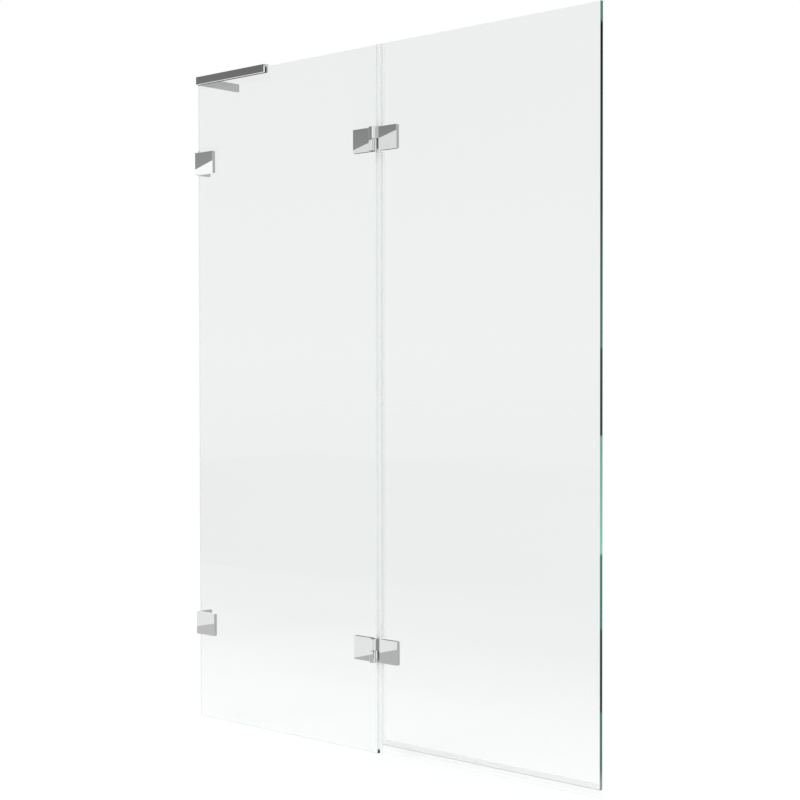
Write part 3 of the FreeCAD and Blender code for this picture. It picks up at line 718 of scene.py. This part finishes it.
# %% [markdown]
# ### Sides
# The faces of a side are found by their place: all that lie close to a border of the pane. An arris
# is the slanted part of a side. The finish is then assigned in edit mode, as by hand.

# %% Finish the sides
SLANT = 0.2


def side_of(face, low, high):
    """The side of the pane that a face belongs to, or None for its large faces and its holes."""
    gaps = {
        "left": face.center.x - low.x,
        "right": high.x - face.center.x,
        "bottom": face.center.z - low.z,
        "top": high.z - face.center.z,
    }
    nearest = min(gaps, key=gaps.get)
    return nearest if gaps[nearest] < 2 * ARRIS else None


def is_arris(face):
    """True for the narrow slanted flat between a pane's edge and its large faces."""
    return abs(face.normal.y) > SLANT


def finish_sides(pane, low, high, sides, finish, arris_only=False):
    """Gives the faces of the named sides, or only their arrises, a finish of their own."""
    pane.data.materials.append(finish)
    bpy.ops.object.mode_set(mode="EDIT")
    bpy.ops.mesh.select_mode(type="FACE")
    bpy.ops.mesh.select_all(action="DESELECT")
    bpy.ops.object.mode_set(mode="OBJECT")
    for face in pane.data.polygons:
        wanted = is_arris(face) or not arris_only
        face.select = wanted and side_of(face, low, high) in sides
    bpy.ops.object.mode_set(mode="EDIT")
    pane.active_material_index = len(pane.data.materials) - 1
    bpy.ops.object.material_slot_assign()
    bpy.ops.object.mode_set(mode="OBJECT")


# %% [markdown]
# ### Both panes
# A pane takes the place of its solid and rides on the same body. The fixed pane is drilled for the
# brackets and the hinges, the door only for the hinges.

# %% Both panes
BRACKET_CLAMP_INSET = 0.030


def middle_of(node):
    """Where a clamp plate has its screws, along the screen."""
    low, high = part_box(node)
    return (low.x + high.x) / 2


def make_pane(node, name, body, columns, free_side, seam_side, seam, arrises):
    """A pane of glass in the place of its solid, with ground edges and drilled holes."""
    low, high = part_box(node)
    pane = cut_pane(name, low, high)
    drill(pane, clamp_holes(columns), depth=2 * (high.y - low.y))
    only(pane)
    pane.data.materials.append(clear_glass)
    finish_sides(pane, low, high, (free_side, "top"), free_edge_painted_reflections)
    finish_sides(pane, low, high, (seam_side, "bottom"), seam)
    for sides, arris in arrises:
        finish_sides(pane, low, high, sides, arris, arris_only=True)
    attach(pane, body)
    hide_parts(node)
    edge_faces = sum(face.material_index > 0 for face in pane.data.polygons)
    print(name, "has", len(pane.data.polygons), "faces, of which", edge_faces, "are edge")


make_pane(
    "fixed_glass_panel",
    "fixed_pane",
    "fixed_side",
    columns=(BRACKET_CLAMP_INSET, middle_of("upper_hinge_fixed_back_plate")),
    free_side="left",
    seam_side="right",
    seam=painted_fixed_seam,
    arrises=[(("top",), painted_light_arris), (("left", "bottom"), painted_shade_arris), (("right",), painted_gap_shade_arris)],
)
make_pane(
    "door_glass_panel",
    "door_pane",
    "door",
    columns=(middle_of("upper_hinge_door_back_plate"),),
    free_side="right",
    seam_side="left",
    seam=painted_door_seam,
    arrises=[(("top",), painted_light_arris)],
)

# %% [markdown]
# ## Floor
# The floor stands for the bath's rim and is as pale as paper. It is large, so that it meets the
# white world far behind the screen. There its tone is set so that the floor, lit by world and sun,
# is as white as the world: the line where the two meet then doesn't show through the glass. Near
# the screen it is a shade paler, which makes up for the faint shadow that it keeps.

# %% Floor
FLOOR_SIZE = 60
FLOOR_DROP = 0.004
NEAR_TONE = (0.872, 0.872, 0.872)
FAR_TONE = (0.852, 0.852, 0.852)
FADE_START = 1.2
FADE_END = 8.0
FLOOR_CLOUD = 0.1
FLOOR_CLOUD_SIZE = 2


def make_floor_finish():
    """The pale floor, a shade paler near the screen."""
    finish, tree, shader = new_finish("pale_floor")
    place = tree.nodes.new("ShaderNodeTexCoord")
    reach = tree.nodes.new("ShaderNodeVectorMath")
    reach.operation = "LENGTH"
    tree.links.new(place.outputs["Object"], reach.inputs[0])
    fade = add_node(tree, "ShaderNodeMapRange", From_Min=FADE_START, From_Max=FADE_END)
    tree.links.new(reach.outputs["Value"], fade.inputs["Value"])
    uneven = add_cloud(tree, fade.outputs["Result"], FLOOR_CLOUD_SIZE, FLOOR_CLOUD)
    tree.links.new(mix_colours(tree, uneven, NEAR_TONE, FAR_TONE), shader.inputs["Base Color"])
    shader.inputs["Roughness"].default_value = 1
    shader.inputs["Specular IOR Level"].default_value = 0
    return finish


bpy.ops.object.select_all(action="DESELECT")
bpy.ops.mesh.primitive_plane_add(size=FLOOR_SIZE, location=(0, 0, -FLOOR_DROP))
floor = bpy.context.object
floor.name = "floor"
floor.data.materials.append(make_floor_finish())
print("floor", FLOOR_SIZE, "m wide")

# %% [markdown]
# ## Flags for the chrome
# Chrome in an all-white studio looks like white paint, so photographers hang cards, called flags,
# where the metal will mirror them. Here a flag is a card that only reflections see: a camera ray
# finds it transparent, and Glossy Depth says when a ray has been mirrored. Flags are part of the
# stage.

# %% Flag helpers
def make_flag_finish(name, low_tone, high_tone=None, low_height=0.0, high_height=1.0):
    """A card's tone, from one height to another, or one tone all over."""
    finish, tree, _ = new_finish(name)
    rise = rise_between(tree, low_height, high_height)
    tone = mix_colours(tree, rise, (low_tone,) * 3, (high_tone or low_tone,) * 3)
    glow = add_node(tree, "ShaderNodeEmission", Strength=1)
    tree.links.new(tone, glow.inputs["Color"])
    clear = tree.nodes.new("ShaderNodeBsdfTransparent")
    path = tree.nodes.new("ShaderNodeLightPath")
    choose = tree.nodes.new("ShaderNodeMixShader")
    tree.links.new(path.outputs["Glossy Depth"], choose.inputs[0])
    tree.links.new(clear.outputs["BSDF"], choose.inputs[1])
    tree.links.new(glow.outputs["Emission"], choose.inputs[2])
    tree.links.new(choose.outputs["Shader"], tree.nodes["Material Output"].inputs["Surface"])
    return finish


def hang_flag(name, corners, finish, through_glass=True):
    """A four-cornered card for reflections, also for those through a pane unless that is off."""
    bpy.ops.object.select_all(action="DESELECT")
    bpy.ops.mesh.primitive_grid_add(x_subdivisions=1, y_subdivisions=1, size=1)
    flag = bpy.context.object
    flag.name = name
    for vertex, corner in zip(flag.data.vertices, corners):
        vertex.co = corner
    flag.data.materials.append(finish)
    flag.visible_camera = False
    flag.visible_diffuse = False
    flag.visible_shadow = False
    flag.visible_transmission = through_glass


# %% [markdown]
# ### Tones of the cards
# A mirrored card shows in its own tone, so each tone was set by what the metal shows in the
# photograph. The dark flags get darker upwards. All other cards are even.

# %% Tones of the cards
dark = make_flag_finish(
    "dark_flag", low_tone=0.32, high_tone=0.16, low_height=1.65, high_height=2.10
)
pale_high = make_flag_finish("pale_flag", 0.74)
pale_low = make_flag_finish("pale_floor_card", 0.82)
bracket_grey = make_flag_finish("bracket_floor_card", 0.535)
hinge_grey = make_flag_finish("hinge_floor_card", 0.473)
back_grey = make_flag_finish("back_card", 0.50)
web_grey = make_flag_finish("web_card", 0.28)
room_grey = make_flag_finish("room_card", 0.40)
under_grey = make_flag_finish("strip_card", 0.15)
pales = (pale_high, pale_low)
greys = (bracket_grey, hinge_grey, back_grey, web_grey, room_grey, under_grey)
print("made", dark.name, "with", len(pales), "pale tones and", len(greys), "greys")

# %% [markdown]
# ### Hanging flags
# The faces of the plates mirror what is to the left of the camera. Dark flags with a sloping foot
# hang there, square to that view, for the brace and the upper fittings. The panes mirror the same
# place, so a flag is only as large as its plate needs. A pale flag behind them fills what the upper
# hinge mirrors beside its dark one.

# %% Hanging flags
MIRRORED_VIEW = Vector((-math.sin(CAMERA_AZIMUTH), -math.cos(CAMERA_AZIMUTH), 0))
MIRRORED_SIDE = Vector((math.cos(CAMERA_AZIMUTH), -math.sin(CAMERA_AZIMUTH), 0))
UP = Vector((0, 0, 1))
DARK_DISTANCE = 3.0
PALE_DISTANCE = 3.02
# Each has its name, distance, left, right, left foot, right foot, top and finish.
HANGING_FLAGS = [
    ("flag_for_brace", DARK_DISTANCE, -0.40, -0.07, 2.02, 2.06, 2.15, dark),
    ("flag_for_upper_bracket", DARK_DISTANCE, -0.39, -0.29, 1.673, 1.728, 1.78, dark),
    ("flag_for_upper_hinge", DARK_DISTANCE, 0.28, 0.49, 1.755, 1.855, 1.89, dark),
    ("pale_for_upper_hinge", PALE_DISTANCE, 0.28, 2.4, 1.7, 1.7, 2.2, pale_high),
    ("flag_for_left_corners", DARK_DISTANCE, -2.2, -0.45, 1.4, 1.4, 2.4, dark),
]


def facing_corners(distance, left, right, left_foot, right_foot, top):
    """Corners of a card that hangs square to the mirrored view, with a sloping lower edge."""
    far = MIRRORED_VIEW * distance
    return [
        far + MIRRORED_SIDE * left + UP * left_foot,
        far + MIRRORED_SIDE * right + UP * right_foot,
        far + MIRRORED_SIDE * left + UP * top,
        far + MIRRORED_SIDE * right + UP * top,
    ]


for name, *place, finish in HANGING_FLAGS:
    hang_flag(name, facing_corners(*place), finish)
print("hung", len(HANGING_FLAGS), "flags")

# %% [markdown]
# ### Standing cards
# The webs and knuckles of the hinges turn other ways and have small cards of their own, one of them
# close to the camera. Cards behind the screen serve the brace and the sides of the plates. Two of
# them are large, so they are hidden from reflections that come through a pane. A narrow strip draws
# the dark line on top of the lower fittings.

# %% Standing cards
# Each has its name, left, right, depth, foot, top and finish.
STANDING_CARDS = [
    ("card_for_upper_web", 0.10, 0.55, -3.0, 1.65, 1.90, back_grey),
    ("card_for_upper_knuckle", 2.9, 4.3, -0.47, 1.5, 2.0, pale_low),
    ("card_by_camera", 1.2, 2.9, -1.69, 1.5, 1.8, pale_high),
    ("card_for_upper_sides", 3.32, 3.57, 2.98, 1.855, 1.985, back_grey),
    ("strip_for_lower_tops", -2.55, -1.95, 2.98, 0.90, 0.95, under_grey),
]
LARGE_STANDING_CARDS = [
    ("right_card_behind", 0, 7.0, 3.0, 0, 4.0, back_grey),
    ("left_card_behind", -5.0, 0, 3.0, 0, 1.78, back_grey),
]


def upright_corners(left, right, depth, foot, top):
    """Corners of a card that stands parallel to the screen."""
    return [Vector((x, depth, z)) for z in (foot, top) for x in (left, right)]


for name, *place, finish in STANDING_CARDS:
    hang_flag(name, upright_corners(*place), finish)
for name, *place, finish in LARGE_STANDING_CARDS:
    hang_flag(name, upright_corners(*place), finish, through_glass=False)
print("stood up", len(STANDING_CARDS) + len(LARGE_STANDING_CARDS), "cards")

# %% [markdown]
# ### Cards on the floor
# The lower fittings mirror the floor, so their greys lie there, each a little above the one it
# covers. A strip draws the dark line under the upper fittings, and a wide grey card out in the room
# is there for views from higher up. The large card behind the screen is hidden from reflections
# through a pane, as those above are.

# %% Cards on the floor
WIDE_HEIGHT = 0.002
CARD_HEIGHT = 0.004
WEB_HEIGHT = 0.006
# Each has its name, left, right, near, far, height and finish.
LYING_CARDS = [
    ("card_for_lower_bracket", -1.015, -0.70, -1.4, -0.5, CARD_HEIGHT, bracket_grey),
    ("card_for_lower_hinge", -0.243, 0.45, -1.4, -0.5, CARD_HEIGHT, hinge_grey),
    ("card_for_lower_web", 0.40, 0.56, -1.6, -1.1, WEB_HEIGHT, web_grey),
    ("card_for_lower_knuckle", 1.6, 2.4, -0.5, 0.05, CARD_HEIGHT, pale_low),
    ("pale_for_lower_fittings", -2.0, 1.0, -2.0, -0.05, WIDE_HEIGHT, pale_low),
    ("card_on_floor_by_camera", 0.8, 1.8, -1.3, -0.4, CARD_HEIGHT, bracket_grey),
    ("card_for_lower_sides", 0.93, 1.65, 0.755, 1.075, CARD_HEIGHT, back_grey),
    ("floor_card_in_front", -9.0, 9.0, -9.0, -2.0, WIDE_HEIGHT, room_grey),
    ("strip_for_upper_undersides", -5.95, -5.05, 6.36, 6.58, CARD_HEIGHT, under_grey),
]
LARGE_LYING_CARDS = [
    ("floor_card_behind", 0.3, 5.0, 0.05, 3.0, WIDE_HEIGHT, back_grey),
]


def lying_corners(left, right, near, far, height):
    """Corners of a card that lies flat."""
    return [Vector((x, y, height)) for y in (near, far) for x in (left, right)]


for name, *place, finish in LYING_CARDS:
    hang_flag(name, lying_corners(*place), finish)
for name, *place, finish in LARGE_LYING_CARDS:
    hang_flag(name, lying_corners(*place), finish, through_glass=False)
print("laid out", len(LYING_CARDS) + len(LARGE_LYING_CARDS), "cards")
